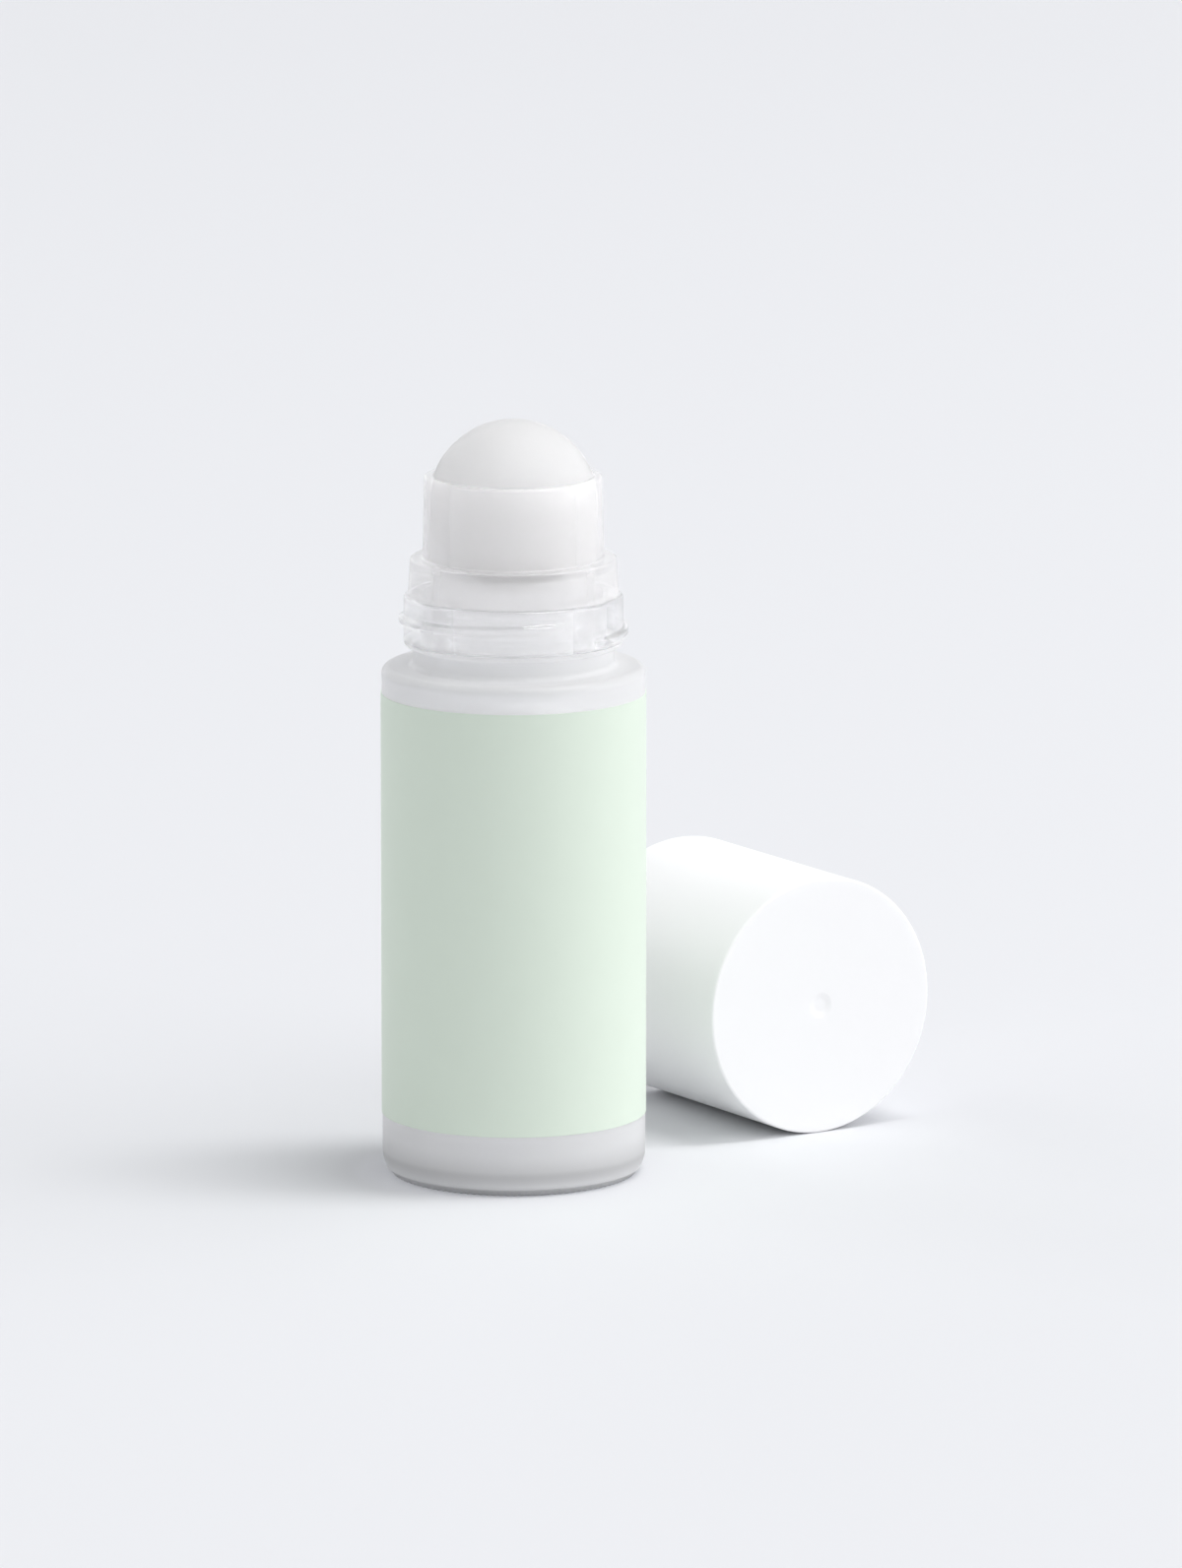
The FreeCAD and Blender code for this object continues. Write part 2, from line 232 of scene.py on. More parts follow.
def lathe(rows: np.ndarray, columns: int, shape: Shape | None = None) -> np.ndarray:
    """Carry a half-section round the Z axis: (r cos a, r sin a, z) for each row and each angle a.

    Args:
        rows: Radius and height of each row.
        columns: Number of angles in the full turn.
        shape: Takes angles, radii and heights as grids and gives the radii and heights that replace them.

    Returns:
        The grid of points, as a (rows, columns, 3) array.
    """
    angle = np.linspace(0, 2 * np.pi, columns, endpoint=False)[None, :]
    radius = np.broadcast_to(rows[:, :1], (len(rows), columns))
    height = np.broadcast_to(rows[:, 1:], (len(rows), columns))
    if shape is not None:
        radius, height = shape(angle, radius, height)
    return np.stack((radius * np.cos(angle), radius * np.sin(angle), height), axis=-1)


def lathe_faces(rows: int, columns: int, ends: Ends) -> tuple[np.ndarray, np.ndarray]:
    """Faces of a lathed grid whose rows run with the outside on their right hand.

    Args:
        rows: Number of rows of the grid, poles not counted.
        columns: Number of columns.
        ends: Whether poles close the grid, as the two points after it, or its last row joins its first.

    Returns:
        The quads as an (n, 4) array, row by row, and the triangles round the poles as an (m, 3) array.
    """
    row = np.arange(rows if ends is Ends.LOOP else rows - 1)[:, None]
    column = np.arange(columns)[None, :]
    beside, above = (column + 1) % columns, (row + 1) % rows
    quads = np.stack(np.broadcast_arrays(
        row * columns + column,
        row * columns + beside,
        above * columns + beside,
        above * columns + column,
    ), axis=-1).reshape(-1, 4)
    if ends is Ends.LOOP:
        return quads, np.zeros((0, 3), int)
    ring, near = np.arange(columns), (np.arange(columns) + 1) % columns
    last = (rows - 1) * columns
    first_pole = np.stack((np.full(columns, rows * columns), near, ring), axis=-1)
    last_pole = np.stack((np.full(columns, rows * columns + 1), last + ring, last + near), axis=-1)
    return quads, np.concatenate((first_pole, last_pole))


def add_piece(name: str, points: np.ndarray, faces: list[list[int]]) -> bpy.types.Object:
    """Make a smooth-shaded mesh object at the origin.

    Args:
        name: The piece's name.
        points: Its vertices as an (n, 3) array, in the row frame.
        faces: Its faces, each a list of vertex numbers.

    Returns:
        The new object, linked to the scene.
    """
    mesh = bpy.data.meshes.new(name)
    mesh.from_pydata(points.tolist(), [], faces)
    mesh.polygons.foreach_set("use_smooth", np.ones(len(mesh.polygons), bool))
    mesh.update()
    piece = bpy.data.objects.new(name, mesh)
    bpy.context.scene.collection.objects.link(piece)
    LOG.info("%s: %d faces", name, len(mesh.polygons))
    return piece


def add_lathed(name: str, grid: np.ndarray, ends: Ends, poles: Sequence[Sequence[float]] = ()) -> bpy.types.Object:
    """Make a piece from a lathed grid.

    Args:
        name: The piece's name.
        grid: Its points, as a (rows, columns, 3) array.
        ends: What closes it.
        poles: The two points on the axis, below and above, where it has poles.

    Returns:
        The new object.
    """
    quads, fans = lathe_faces(grid.shape[0], grid.shape[1], ends)
    points = grid.reshape(-1, 3)
    if ends is Ends.POLES:
        points = np.concatenate((points, np.array(poles, float)))
    return add_piece(name, points, quads.tolist() + fans.tolist())


def place(piece: bpy.types.Object, body: str, node: str, slot: str, *materials: bpy.types.Material) -> None:
    """Let a piece stand for its solid, ride on its body and wear its materials.

    Args:
        piece: The new piece.
        body: The body that carries it.
        node: The solid that it stands for.
        slot: The record's material slot; not used.
        *materials: Its materials, in the order of its faces' material numbers.
    """
    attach(piece, body)
    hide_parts(node)
    for material in materials:
        piece.data.materials.append(material)


def linear(hex_colour: str) -> tuple[float, float, float, float]:
    """Turn an sRGB hex colour such as #E5E6EA into linear red, green, blue and alpha."""
    values = np.array([int(hex_colour[i:i + 2], 16) for i in (1, 3, 5)]) / 255
    curved = np.where(values <= 0.04045, values / 12.92, ((values + 0.055) / 1.055) ** 2.4)
    return (*(float(value) for value in curved), 1.0)


def add_node(tree: bpy.types.NodeTree, kind: str, settings: dict | None = None, **inputs) -> bpy.types.Node:
    """Add a node with its settings and its inputs.

    Args:
        tree: The node tree.
        kind: Blender's name for the node's type.
        settings: The node's own properties.
        **inputs: What each socket holds or is linked from; an underscore in a name stands for a space.

    Returns:
        The new node.
    """
    node = tree.nodes.new(kind)
    for name, value in (settings or {}).items():
        setattr(node, name, value)
    for name, value in inputs.items():
        socket = node.inputs[name.replace("_", " ")]
        if isinstance(value, bpy.types.NodeSocket):
            tree.links.new(value, socket)
        else:
            socket.default_value = value
    return node


def new_tree(name: str) -> tuple[bpy.types.Material, bpy.types.NodeTree]:
    """Make an empty node material and give it with its tree."""
    material = bpy.data.materials.new(name)
    material.use_nodes = True
    material.node_tree.nodes.clear()
    return material, material.node_tree


def show(tree: bpy.types.NodeTree, shader: bpy.types.Node) -> None:
    """Link a shader to a new material output."""
    add_node(tree, "ShaderNodeOutputMaterial", Surface=shader.outputs[0])


@dataclass(frozen=True)
class Finish:
    """A finish with a fine grain: one colour that drifts a little, a roughness that varies, and a slight relief.

    Attributes:
        name: The material's name.
        colour: sRGB hex colour.
        shade: sRGB hex colour that it drifts to.
        roughness: Middle roughness.
        roughness_spread: How far the roughness varies to each side.
        ior: Index of refraction.
        transmission: Share of light that goes through instead of being scattered back.
        grain: Size of the grain.
        relief: Depth of the grain.
        drift: Size of the patches that the colour drifts over.
        scatter: Share of light that is scattered below the surface.
        scatter_depth: How far such light goes.
        gloss: Strength of the reflection, where 0.5 is what the index of refraction gives.
        painted_shade_bands: Heights from the foot up, each with the share of the colour that shows there, as painted
            shade.
    """

    name: str
    colour: str
    shade: str
    roughness: float
    roughness_spread: float
    ior: float
    transmission: float
    grain: float
    relief: float
    drift: float
    scatter: float = 0.0
    scatter_depth: float = 0.0
    gloss: float = 0.5
    painted_shade_bands: tuple[tuple[float, float], ...] = ()

    def material(self) -> bpy.types.Material:
        """Build the node material."""
        material, tree = new_tree(self.name)
        show(tree, self.shader(tree))
        return material

    def shader(self, tree: bpy.types.NodeTree) -> bpy.types.Node:
        """Add the nodes of the surface.

        Args:
            tree: The material's node tree.

        Returns:
            The node that shades the surface.
        """
        spot = add_node(tree, "ShaderNodeTexCoord").outputs["Object"]
        patches = add_node(tree, "ShaderNodeTexNoise", Vector=spot, Scale=1 / self.drift, Detail=2.0)
        grain = add_node(tree, "ShaderNodeTexNoise", Vector=spot, Scale=1 / self.grain, Detail=1.0)
        tint = add_node(tree, "ShaderNodeMix", {"data_type": "RGBA"}, Factor=patches.outputs[0])
        tint.inputs[MIX_FIRST].default_value = linear(self.colour)
        tint.inputs[MIX_SECOND].default_value = linear(self.shade)
        colour = tint.outputs[MIX_RESULT]
        # Painted shade by height, where the finish has painted shade bands
        if self.painted_shade_bands:
            colour = self.paint_shade_by_height(tree, spot, colour)
        low, high = self.roughness - self.roughness_spread, self.roughness + self.roughness_spread
        rough = add_node(tree, "ShaderNodeMapRange", Value=grain.outputs[0], To_Min=low, To_Max=high)
        bump = add_node(tree, "ShaderNodeBump", Strength=1.0, Distance=self.relief, Height=grain.outputs[0])
        return add_node(
            tree,
            "ShaderNodeBsdfPrincipled",
            Base_Color=colour,
            Roughness=rough.outputs[0],
            Normal=bump.outputs[0],
            IOR=self.ior,
            Specular_IOR_Level=self.gloss,
            Transmission_Weight=self.transmission,
            Subsurface_Weight=self.scatter,
            Subsurface_Scale=self.scatter_depth,
            Subsurface_Radius=(1.0, 1.0, 1.0),
        )

    def paint_shade_by_height(
        self, tree: bpy.types.NodeTree, spot: bpy.types.NodeSocket, colour: bpy.types.NodeSocket
    ) -> bpy.types.NodeSocket:
        """Paint shade onto the colour by height, through a ramp between the painted shade bands.

        Args:
            tree: The material's node tree.
            spot: The socket with the point's place on the object.
            colour: The socket with the colour.

        Returns:
            The socket with the banded colour.
        """
        top = self.painted_shade_bands[-1][0]
        height = add_node(tree, "ShaderNodeSeparateXYZ", Vector=spot).outputs["Z"]
        share = add_node(tree, "ShaderNodeMapRange", Value=height, From_Min=0.0, From_Max=top)
        ramp = add_node(tree, "ShaderNodeValToRGB", Fac=share.outputs[0])
        stops = ramp.color_ramp.elements
        while len(stops) < len(self.painted_shade_bands):
            stops.new(1.0)
        for stop, (level, grey) in zip(stops, self.painted_shade_bands):
            stop.position = level / top
            stop.color = (grey, grey, grey, 1.0)
        mixed = add_node(tree, "ShaderNodeMix", {"data_type": "RGBA", "blend_type": "MULTIPLY"}, Factor=1.0)
        tree.links.new(colour, mixed.inputs[MIX_FIRST])
        tree.links.new(ramp.outputs[0], mixed.inputs[MIX_SECOND])
        return mixed.outputs[MIX_RESULT]


@dataclass(frozen=True)
class ClearFinish(Finish):
    """A see-through finish that lamps shine straight through, in place of the dark shadow of a solid lens.

    Attributes:
        lamp_share: sRGB hex colour of a white lamp's light once it has come through.
        straight: Share of what is seen through it that the thin wall doesn't bend.
    """

    lamp_share: str = "#F0F0F0"
    straight: float = 0.0

    def shader(self, tree: bpy.types.NodeTree) -> bpy.types.Node:
        """Add the nodes of the surface, with plain transparency for lamp light.

        Args:
            tree: The material's node tree.

        Returns:
            The node that shades the surface.
        """
        shown = super().shader(tree)
        to_lamp = add_node(tree, "ShaderNodeLightPath").outputs["Is Shadow Ray"]
        for share, colour in ((self.straight, "#FFFFFF"), (to_lamp, self.lamp_share)):
            open_way = add_node(tree, "ShaderNodeBsdfTransparent", Color=linear(colour))
            mixed = add_node(tree, "ShaderNodeMixShader", Fac=share)
            tree.links.new(shown.outputs[0], mixed.inputs[1])
            tree.links.new(open_way.outputs[0], mixed.inputs[2])
            shown = mixed
        return shown


# Soda-lime glass dulled by acid: the etched skin scatters what goes through it, so it looks milky. The bands are
# painted shade, darker glass by height: a dark chamfer at the foot where the contact shadow falls, a dark band at the
# heel where the thick floor would show through, and a darker ring at the turn of the shoulder
ETCHED_GLASS = ClearFinish(
    "etched_soda_lime_glass", "#FDFDFD", "#FBFBFC",
    roughness=0.48, roughness_spread=0.04, ior=1.52, transmission=0.36,
    grain=0.35 * MM, relief=0.004 * MM, drift=9 * MM, lamp_share="#D8DADD",
    # Painted shade by height at the foot and at the turn of the shoulder
    painted_shade_bands=(
        (0.0, 0.52), (0.85 * MM, 0.56), (1.05 * MM, 0.86), (1.5 * MM, 0.85), (2.2 * MM, 0.72), (2.7 * MM, 0.66),
        (3.2 * MM, 0.66), (3.5 * MM, 0.76), (4.9 * MM, 0.87), (5.8 * MM, 0.93), (6.6 * MM, 0.97), (8.2 * MM, 1.0),
        (73.0 * MM, 1.0), (74.3 * MM, 0.82), (74.8 * MM, 0.9), (78.0 * MM, 0.92),
    ),
)
# Fire-polished soda-lime glass: clear, with a sharp gloss
POLISHED_GLASS = ClearFinish(
    "polished_soda_lime_glass", "#FEFEFF", "#FCFDFE",
    roughness=0.015, roughness_spread=0.01, ior=1.52, transmission=0.94,
    grain=3 * MM, relief=0.004 * MM, drift=12 * MM, lamp_share="#FAFAFA", straight=0.3,
)
# Clarified polypropylene from a polished mould: see-through, with a milky haze
CLEAR_PP = ClearFinish(
    "clarified_polypropylene", "#FAF9F9", "#F8F7F7",
    roughness=0.16, roughness_spread=0.03, ior=1.49, transmission=0.53,
    grain=2 * MM, relief=0.0006 * MM, drift=10 * MM, lamp_share="#FAFAFA", straight=0.42,
)
# Ground and tumbled polypropylene ball: white, satin, slightly waxy
BALL_PP = Finish(
    "tumbled_white_polypropylene", "#FBFAF9", "#F9F8F7",
    roughness=0.55, roughness_spread=0.04, ior=1.49, transmission=0.42,
    grain=0.3 * MM, relief=0.002 * MM, drift=6 * MM, scatter=1.0, scatter_depth=16.0 * MM, gloss=0.15,
)
# Polypropylene cap from a spark-eroded mould: white with an even satin grain
CAP_PP = Finish(
    "moulded_white_polypropylene", "#FAFAFB", "#F8F8F9",
    roughness=0.42, roughness_spread=0.05, ior=1.49, transmission=0.0,
    grain=0.3 * MM, relief=0.003 * MM, drift=12 * MM, scatter=0.4, scatter_depth=0.8 * MM, gloss=0.35,
)
# Matt polypropylene film, printed in a pale tint: a dull sheen and a slight mottle of the ink
LABEL_FILM = Finish(
    "matt_label_film", "#DEEADC", "#DCE8DA",
    roughness=0.5, roughness_spread=0.06, ior=1.49, transmission=0.0,
    grain=0.25 * MM, relief=0.002 * MM, drift=4 * MM,
)
# Matt painted floor of the studio
FLOOR_PAINT = Finish(
    "matt_floor_paint", "#E0E1E4", "#DFE0E3",
    roughness=0.95, roughness_spread=0.02, ior=1.3, transmission=0.0,
    grain=5 * MM, relief=0.0, drift=900 * MM,
)


@dataclass
class GlassBottle:
    """Etched glass bottle with a clear threaded neck, made as one closed wall.

    Attributes:
        columns: Points round the bottle, a whole number to each knurl.
        knurls: Small flats round the standing ring.
        knurl_depth: Depth of the valleys between them.
        knurl_rise: Height on the heel where they fade out.
        knurl_fade: How many times faster than evenly they fade up to there.
        knurl_blend: Width over which they fade towards the middle of the foot and turn from its face to its side.
        knurl_turn: How far outside the standing ring's edge that turn starts.
        root_radius: Radius of the neck's narrow root, which is etched.
        root_top: Height where the root, and the etching, ends.
        neck_foot_round: Round of the clear neck's lower edge.
        pushup_radius: Inner radius of that ring, where the hollow under the base starts.
        dome_start: Share of the hollow's radius where its innermost row lies.
        close_climb: Height above the chamfer up to which the heel's rows lie close together.
        wide_climb: Height above it where its wider rows start.
        lip_depth: Distance from the lip down to the last row of the threaded wall.
    """

    columns: int = 448
    knurls: int = 112
    knurl_depth: float = 0.14 * MM
    knurl_rise: float = 0.85 * MM
    knurl_fade: float = 3.0
    knurl_blend: float = 0.8 * MM
    knurl_turn: float = 0.6 * MM
    root_radius: float = 14.5 * MM
    root_top: float = 77.2 * MM
    neck_foot_round: float = 0.95 * MM
    neck_radius: float = 15.8 * MM
    bore_radius: float = 13.4 * MM
    inner_radius: float = 16.8 * MM
    ring_radius: float = 17.6 * MM
    pushup_radius: float = 15.0 * MM
    pushup_height: float = 1.4 * MM
    chamfer_run: float = 0.8 * MM
    chamfer_rise: float = 1.0 * MM
    seam_height: float = 0.1 * MM
    seam_width: float = 0.42 * MM
    heel_rise: float = 3.4 * MM
    floor_height: float = 5.0 * MM
    shoulder_height: float = 74.4 * MM
    inner_shoulder_top: float = 71.8 * MM
    inner_shoulder_foot: float = 69.3 * MM
    shoulder_round: float = 1.2 * MM
    root_round: float = 0.8 * MM
    lip_depth: float = 0.7 * MM
    lip_outer_round: float = 0.6 * MM
    lip_inner_round: float = 0.4 * MM
    inner_shoulder_round: float = 2.0 * MM
    inner_heel_round: float = 4.0 * MM
    pole_radius: float = 1.0 * MM
    dome_start: float = 0.06
    dome_rows: int = 10
    heel_rows: int = 10
    close_climb: float = 0.6 * MM
    wide_climb: float = 0.7 * MM
    row_spacing: float = 9 * MM
    ring_row_spacing: float = 0.7 * MM
    chamfer_row_spacing: float = 0.12 * MM
    heel_row_spacing: float = 0.07 * MM
    neck_row_spacing: float = 0.11 * MM
    thread: Thread = Thread(
        start_turn=math.radians(-45) - VIEW_TURN,
        start_height=79.2 * MM,
        turns=345 / 360,
        pitch=3.175 * MM,
        height=0.75 * MM,
        base=1.9 * MM,
        crest=0.5 * MM,
        fade=math.radians(14),
    )

    def __post_init__(self) -> None:
        """Take the outer sizes from the solid."""
        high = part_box("glass_bottle")[1]
        self.body_radius = high.x
        self.lip_height = high.z

    def heel(self) -> np.ndarray:
        """Rows of the foot: a dome as r^2 under the floor, a flat ring, a chamfer and an arc that meets the wall."""
        dome_share = np.linspace(self.dome_start, 1, self.dome_rows)
        dome = np.stack((self.pushup_radius * dome_share, self.pushup_height * (1 - dome_share ** 2)), axis=-1)
        ring = side_rows(dome[-1], np.array([self.ring_radius, 0.0]), self.ring_row_spacing)[1:]
        brow = np.array([self.ring_radius + self.chamfer_run, self.chamfer_rise])
        chamfer = side_rows(ring[-1], brow, self.chamfer_row_spacing)[1:]
        run, rise = self.body_radius - brow[0], self.heel_rise - brow[1]
        arc = (run ** 2 + rise ** 2) / (2 * run)
        close = np.arange(self.heel_row_spacing, self.close_climb, self.heel_row_spacing)
        climb = np.concatenate((close, np.linspace(self.wide_climb, rise, self.heel_rows)))
        lean = np.arcsin((climb - rise) / arc)
        curve = np.stack((self.body_radius - arc * (1 - np.cos(lean)), self.chamfer_rise + climb), axis=-1)
        return np.concatenate((dome, ring, chamfer, curve))

    def rows(self) -> tuple[np.ndarray, int]:
        """Rows from under the floor, up the outside, over the lip and down the inside.

        Returns:
            The rows, and the number of the row where the outside's etching ends.
        """
        neck_start, neck_end = self.root_top + self.neck_foot_round, self.lip_height - self.lip_depth
        outside = outline([
            Corner(self.body_radius, self.heel_rise),
            Corner(self.body_radius, self.shoulder_height, self.shoulder_round),
            Corner(self.root_radius, self.shoulder_height, self.root_round),
            Corner(self.root_radius, self.root_top),
        ], self.row_spacing)
        underside = outline([
            Corner(self.root_radius, self.root_top),
            Corner(self.neck_radius, self.root_top, self.neck_foot_round),
            Corner(self.neck_radius, neck_start),
        ], self.row_spacing)
        neck = side_rows(
            np.array([self.neck_radius, neck_start]),
            np.array([self.neck_radius, neck_end]),
            self.neck_row_spacing,
        )
        inside = outline([
            Corner(self.neck_radius, neck_end),
            Corner(self.neck_radius, self.lip_height, self.lip_outer_round),
            Corner(self.bore_radius, self.lip_height, self.lip_inner_round),
            Corner(self.bore_radius, self.inner_shoulder_top, self.inner_shoulder_round),
            Corner(self.inner_radius, self.inner_shoulder_foot, self.inner_shoulder_round),
            Corner(self.inner_radius, self.floor_height, self.inner_heel_round),
            Corner(self.pole_radius, self.floor_height),
        ], self.row_spacing)
        etched = np.concatenate((self.heel(), outside[1:], underside[1:]))
        return np.concatenate((etched, neck[1:], inside[1:])), len(etched) - 1

    def relief(self, angle: np.ndarray, radius: np.ndarray, height: np.ndarray) -> tuple[np.ndarray, np.ndarray]:
        """Raise the thread and the mould's seam, and sink the knurl's valleys into the standing ring.

        The thread adds its ridge to the radius, and the seam a raised cosine where the chamfer ends. A valley is
        deepest half way between two knurls, as (1 - cos(n a)) / 2, and fades up the chamfer and towards the middle.

        Args:
            angle: Angles round the axis.
            radius: Radii of the grid.
            height: Heights of the grid.

        Returns:
            The new radii and heights.
        """
        outer_neck = np.abs(radius - self.neck_radius) < ON_WALL
        ridge = np.where(outer_neck, self.thread.relief(angle, height), 0)
        off_seam = np.abs(height - self.chamfer_rise) / self.seam_width
        on_heel = (off_seam < 0.5) & (radius > self.ring_radius)
        ridge = ridge + np.where(on_heel, self.seam_height * (1 + np.cos(2 * np.pi * off_seam)) / 2, 0)
        wave = (1 - np.cos(self.knurls * angle)) / 2
        under = (height < self.knurl_rise) & (radius > self.pushup_radius)
        fade = smooth_step(self.knurl_fade * (1 - height / self.knurl_rise))
        fade = fade * smooth_step((radius - self.pushup_radius) / self.knurl_blend)
        valley = np.where(under, self.knurl_depth * wave * fade, 0)
        lift = smooth_step((self.ring_radius + self.knurl_turn - radius) / self.knurl_blend)
        return radius + ridge - valley * (1 - lift), height + valley * lift

    def build(self) -> bpy.types.Object:
        """Make the bottle's piece and let it stand for its solid."""
        rows, etched_end = self.rows()
        grid = lathe(rows, self.columns, self.relief)
        poles = ((0, 0, self.pushup_height), (0, 0, self.floor_height))
        piece = add_lathed("glass_bottle_wall", grid, Ends.POLES, poles)
        quads = (len(rows) - 1) * self.columns
        # Material 0 is the etched outside with the fan of faces under the floor, and material 1 is all else
        finish = np.ones(len(piece.data.polygons), np.int32)
        finish[:etched_end * self.columns] = 0
        finish[quads:quads + self.columns] = 0
        place(piece, "bottle", "glass_bottle", "frosted_glass", ETCHED_GLASS.material(), POLISHED_GLASS.material())
        piece.data.polygons.foreach_set("material_index", finish)
        return piece


@dataclass
class BallHousing:
    """Clear moulded housing: a barrel round the ball, a cup under it, a flange on the lip and a plug in the neck.

    Attributes:
        lip_gap: Gap between that lip and the flange.
        ball_clearance: Gap round the ball in its socket.
        shelf_drop: How far below the flange's top the shelf lies that the ball seats on.
        seat_wall: Thickness of the cup under the ball.
        plug_lead: Bevel at the skirt's foot that leads it into the neck.
        grip_rows: Rows from the rim down to the ball's middle.
        seat_rows: Rows from the shelf down to the port.
    """

    columns: int = 320
    barrel_top_radius: float = 12.85 * MM
    barrel_foot_radius: float = 13.07 * MM
    flange_top_radius: float = 14.87 * MM
    flange_foot_radius: float = 15.17 * MM
    flange_top: float = 90.1 * MM
    lip_height: float = 84.75 * MM
    lip_gap: float = 0.03 * MM
    ball_clearance: float = 0.1 * MM
    shelf_drop: float = 0.3 * MM
    seat_wall: float = 1.3 * MM
    port_radius: float = 6.0 * MM
    skirt_radius: float = 11.9 * MM
    plug_radius: float = 13.32 * MM
    plug_lead: float = 0.6 * MM
    bead_height: float = 0.05 * MM
    bead_start: float = 1.6 * MM
    bead_spacing: float = 1.7 * MM
    bead_width: float = 0.9 * MM
    bead_count: int = 3
    flange_foot_round: float = 0.15 * MM
    flange_top_round: float = 0.4 * MM
    barrel_foot_round: float = 0.3 * MM
    rim_round: float = 0.5 * MM
    shelf_round: float = 0.3 * MM
    skirt_top_round: float = 0.4 * MM
    skirt_foot_round: float = 0.2 * MM
    grip_rows: int = 14
    seat_rows: int = 10
    row_spacing: float = 2.0 * MM
    plug_row_spacing: float = 0.15 * MM

    def __post_init__(self) -> None:
        """Take the foot, the rim and the ball's centre from the solids."""
        low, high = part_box("ball_housing")
        ball_low, ball_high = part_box("roller_ball")
        self.plug_foot, self.rim_height = low.z, high.z
        self.ball_centre = (ball_low.z + ball_high.z) / 2
        self.socket_radius = (ball_high.z - ball_low.z) / 2 + self.ball_clearance

    def socket_rows(self, start: float, end: float, count: int) -> np.ndarray:
        """Rows on the socket's sphere: (q cos e, c + q sin e) from one elevation e down to another.

        Args:
            start: Height above the ball's centre c where the rows start.
            end: Height above it where they end.
            count: Number of rows.

        Returns:
            The rows, as an (n, 2) array.
        """
        elevation = np.linspace(math.asin(start / self.socket_radius), math.asin(end / self.socket_radius), count)
        section = np.stack((np.cos(elevation), np.sin(elevation)), axis=-1)
        return self.socket_radius * section + np.array([0.0, self.ball_centre])

    def rows(self) -> np.ndarray:
        """Rows of the closed section: up the outside, over the rim, down the bore and the seat and down the skirt."""
        rim_opening = math.sqrt(self.socket_radius ** 2 - (self.rim_height - self.ball_centre) ** 2)
        shelf = self.flange_top - self.shelf_drop
        seat_radius = math.sqrt(self.socket_radius ** 2 - (self.ball_centre - shelf) ** 2)
        port_drop = -math.sqrt(self.socket_radius ** 2 - self.port_radius ** 2)
        plug_top = self.lip_height + self.lip_gap
        plug = side_rows(
            np.array([self.plug_radius, self.plug_foot + self.plug_lead]),
            np.array([self.plug_radius, plug_top]),
            self.plug_row_spacing,
        )
        outside = outline([
            Corner(self.plug_radius, plug_top),
            Corner(self.flange_foot_radius, plug_top, self.flange_foot_round),
            Corner(self.flange_top_radius, self.flange_top, self.flange_top_round),
            Corner(self.barrel_foot_radius, self.flange_top, self.barrel_foot_round),
            Corner(self.barrel_top_radius, self.rim_height, self.rim_round),
            Corner(rim_opening, self.rim_height),
        ], self.row_spacing)
        grip = self.socket_rows(self.rim_height - self.ball_centre, 0.0, self.grip_rows)
        bore = outline([
            Corner(self.socket_radius, self.ball_centre),
            Corner(self.socket_radius, shelf, self.shelf_round),
            Corner(seat_radius, shelf),
        ], self.row_spacing)
        seat = self.socket_rows(shelf - self.ball_centre, port_drop, self.seat_rows)
        skirt = outline([
            Corner(*seat[-1]),
            Corner(self.port_radius, seat[-1, 1] - self.seat_wall),
            Corner(self.skirt_radius, shelf - self.seat_wall, self.skirt_top_round),
            Corner(self.skirt_radius, self.plug_foot, self.skirt_foot_round),
            Corner(self.plug_radius - self.plug_lead, self.plug_foot, self.skirt_foot_round),
            Corner(self.plug_radius, self.plug_foot + self.plug_lead),
        ], self.row_spacing)
        return np.concatenate((plug, outside[1:], grip[1:], bore[1:], seat[1:], skirt[1:-1]))

    def beads(self, angle: np.ndarray, radius: np.ndarray, height: np.ndarray) -> tuple[np.ndarray, np.ndarray]:
        """Swell the plug into sealing beads, each a raised cosine (1 + cos(2 pi s)) / 2 over its width.

        Args:
            angle: Angles round the axis, which the beads don't depend on.
            radius: Radii of the grid.
            height: Heights of the grid.

        Returns:
            The new radii and the same heights.
        """
        first = self.plug_foot + self.bead_start + self.bead_width / 2
        middles = first + self.bead_spacing * np.arange(self.bead_count)
        away = np.abs(height[..., None] - middles) / self.bead_width
        swell = np.where(away < 0.5, (1 + np.cos(2 * np.pi * away)) / 2, 0).max(axis=-1)
        on_plug = np.abs(radius - self.plug_radius) < ON_WALL
        return radius + np.where(on_plug, self.bead_height * swell, 0), height

    def build(self) -> bpy.types.Object:
        """Make the housing's piece and let it stand for its solid."""
        piece = add_lathed("housing_shell", lathe(self.rows(), self.columns, self.beads), Ends.LOOP)
        place(piece, "bottle", "ball_housing", "clear_pp", CLEAR_PP.material())
        return piece


@dataclass
class RollerBall:
    """White ball, free to roll in the housing."""

    columns: int = 192
    ring_count: int = 94

    def build(self) -> bpy.types.Object:
        """Make the ball: rings at even elevations e, with radius q cos e and height q sin e about its centre."""
        low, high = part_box("roller_ball")
        centre, radius = (low.z + high.z) / 2, (high.z - low.z) / 2
        elevation = np.linspace(-np.pi / 2, np.pi / 2, self.ring_count + 2)[1:-1]
        rows = np.stack((radius * np.cos(elevation), centre + radius * np.sin(elevation)), axis=-1)
        piece = add_lathed("ball", lathe(rows, self.columns), Ends.POLES, ((0, 0, low.z), (0, 0, high.z)))
        place(piece, "ball", "roller_ball", "white_ball_pp", BALL_PP.material())
        return piece


